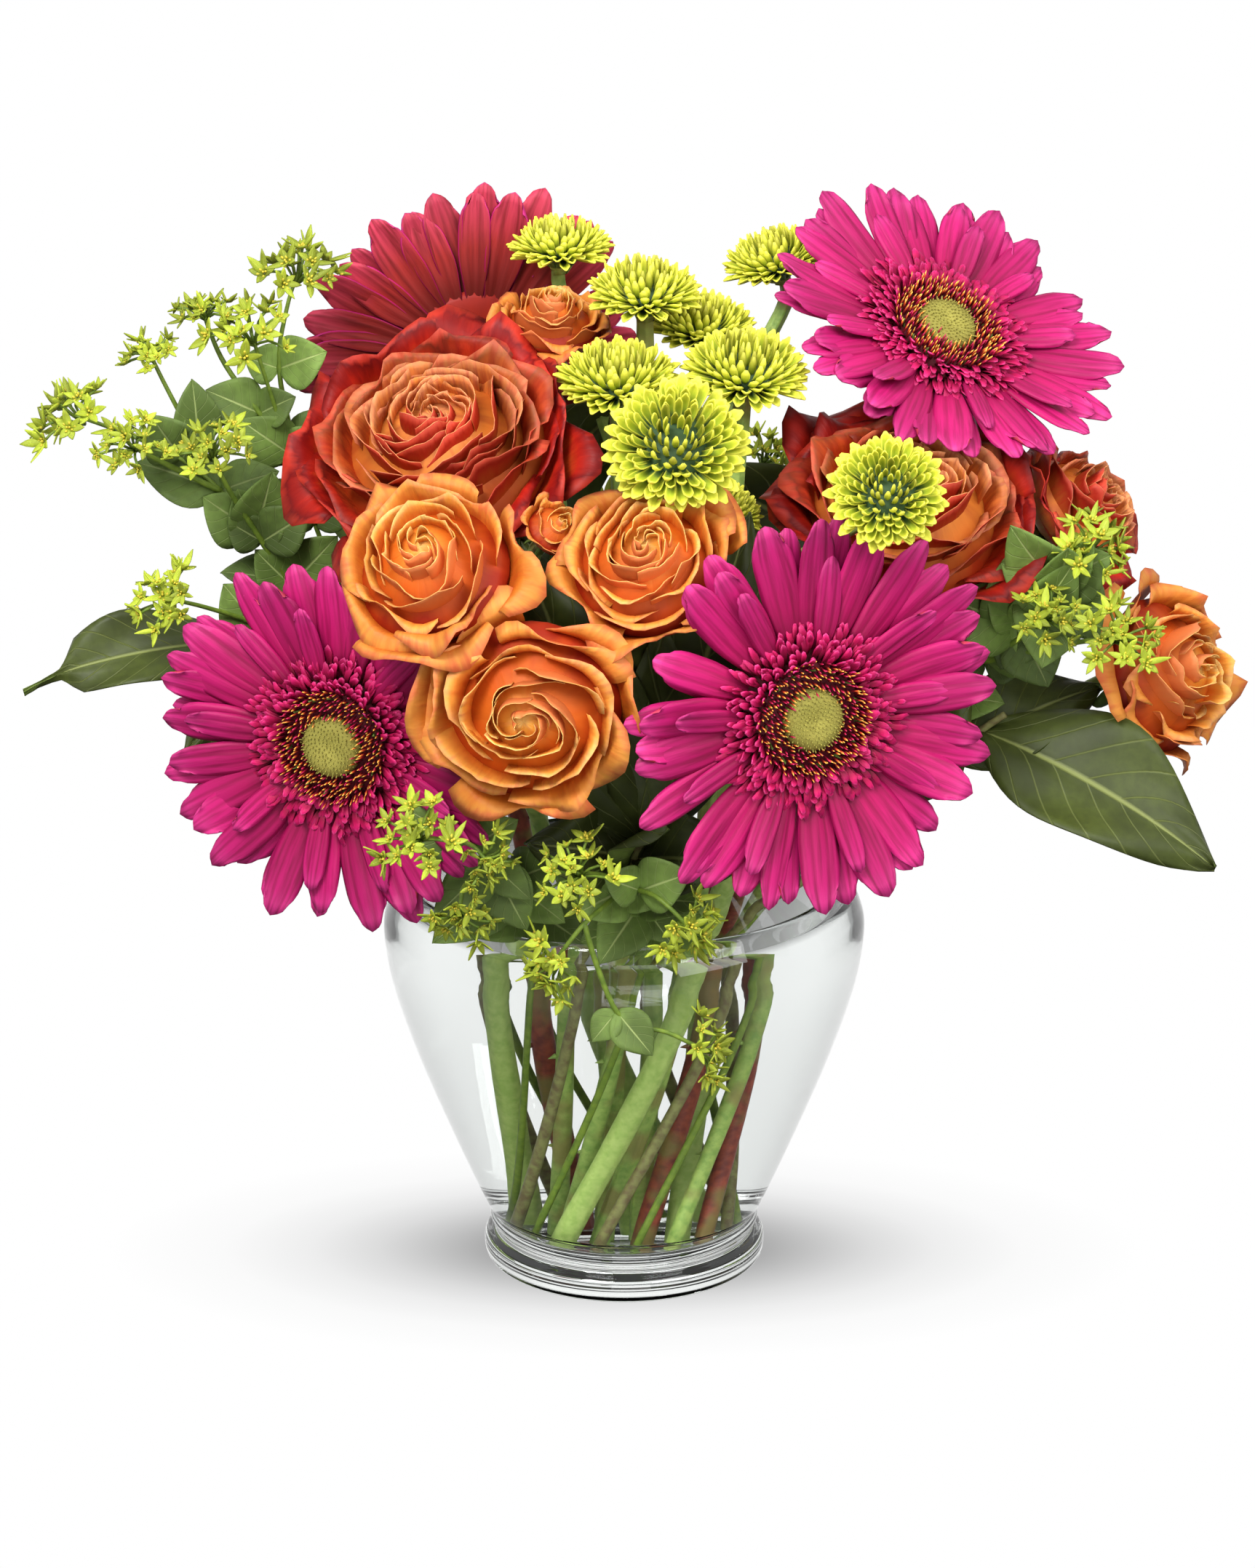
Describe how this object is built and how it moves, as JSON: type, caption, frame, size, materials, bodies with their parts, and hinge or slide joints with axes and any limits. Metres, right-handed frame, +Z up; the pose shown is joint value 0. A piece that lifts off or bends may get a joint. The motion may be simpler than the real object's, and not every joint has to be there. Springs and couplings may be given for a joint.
{
  "type": "roses and gerberas in a vase",
  "caption": "Cut gerberas, roses, green button chrysanthemums and thorow-wax standing in water in a clear glass vase with a ringed foot.",
  "frame": {"origin": "middle of the vase's flat underside", "axes": "+Z up along the vase's axis, -Y the side that the flowers are arranged to face, +X to the right seen from there"},
  "size_m": [0.3479, 0.2191, 0.3181],
  "materials": {
    "clear_glass": "polished",
    "water": "gloss",
    "gerbera_pink": "satin",
    "gerbera_eye": "matte",
    "rose_orange": "satin",
    "rose_red_orange": "satin",
    "mum_green": "matte",
    "stem_green": "satin",
    "stem_brown": "satin",
    "leaf_green": "satin",
    "thorow_wax": "matte"
  },
  "bodies": {
    "root": {"vase": "clear_glass", "water": "water", "gerbera_front_right_rays": "gerbera_pink", "gerbera_front_left_rays": "gerbera_pink", "gerbera_top_right_rays": "gerbera_pink", "gerbera_top_left_rays": "gerbera_pink", "gerbera_front_right_eye": "gerbera_eye", "gerbera_front_left_eye": "gerbera_eye", "gerbera_top_right_eye": "gerbera_eye", "gerbera_top_left_eye": "gerbera_eye", "gerbera_front_right_stem": "stem_green", "gerbera_front_left_stem": "stem_green", "gerbera_top_right_stem": "stem_green", "gerbera_top_left_stem": "stem_green", "rose_large_left_bloom": "rose_red_orange", "rose_large_right_bloom": "rose_red_orange", "rose_side_right_bloom": "rose_red_orange", "rose_spray_left_bloom": "rose_orange", "rose_spray_middle_bloom": "rose_orange", "rose_spray_front_bloom": "rose_orange", "rose_spray_top_bloom": "rose_orange", "rose_spray_right_bloom": "rose_orange", "rose_spray_bud_bloom": "rose_orange", "rose_large_left_stem": "stem_brown", "rose_large_right_stem": "stem_brown", "rose_side_right_stem": "stem_brown", "spray_rose_left_stem": "stem_green", "spray_rose_front_stem": "stem_green", "spray_rose_top_stem": "stem_green", "spray_rose_right_stem": "stem_green", "mum_crown_head": "mum_green", "mum_left_head": "mum_green", "mum_low_left_head": "mum_green", "mum_behind_head": "mum_green", "mum_right_head": "mum_green", "mum_middle_head": "mum_green", "mum_front_head": "mum_green", "mum_far_head": "mum_green", "mum_half_hidden_head": "mum_green", "mum_back_stem": "stem_green", "mum_front_stem": "stem_green", "mum_right_stem": "stem_green", "thorow_wax_left": "thorow_wax", "thorow_wax_upper_left": "thorow_wax", "thorow_wax_front_left": "thorow_wax", "thorow_wax_front": "thorow_wax", "thorow_wax_right": "thorow_wax", "thorow_wax_back": "thorow_wax", "leaves_right": "leaf_green", "leaves_left": "leaf_green", "leaves_front": "leaf_green", "leaves_back_right": "leaf_green", "leaves_back_left": "leaf_green"}
  },
  "joints": []
}
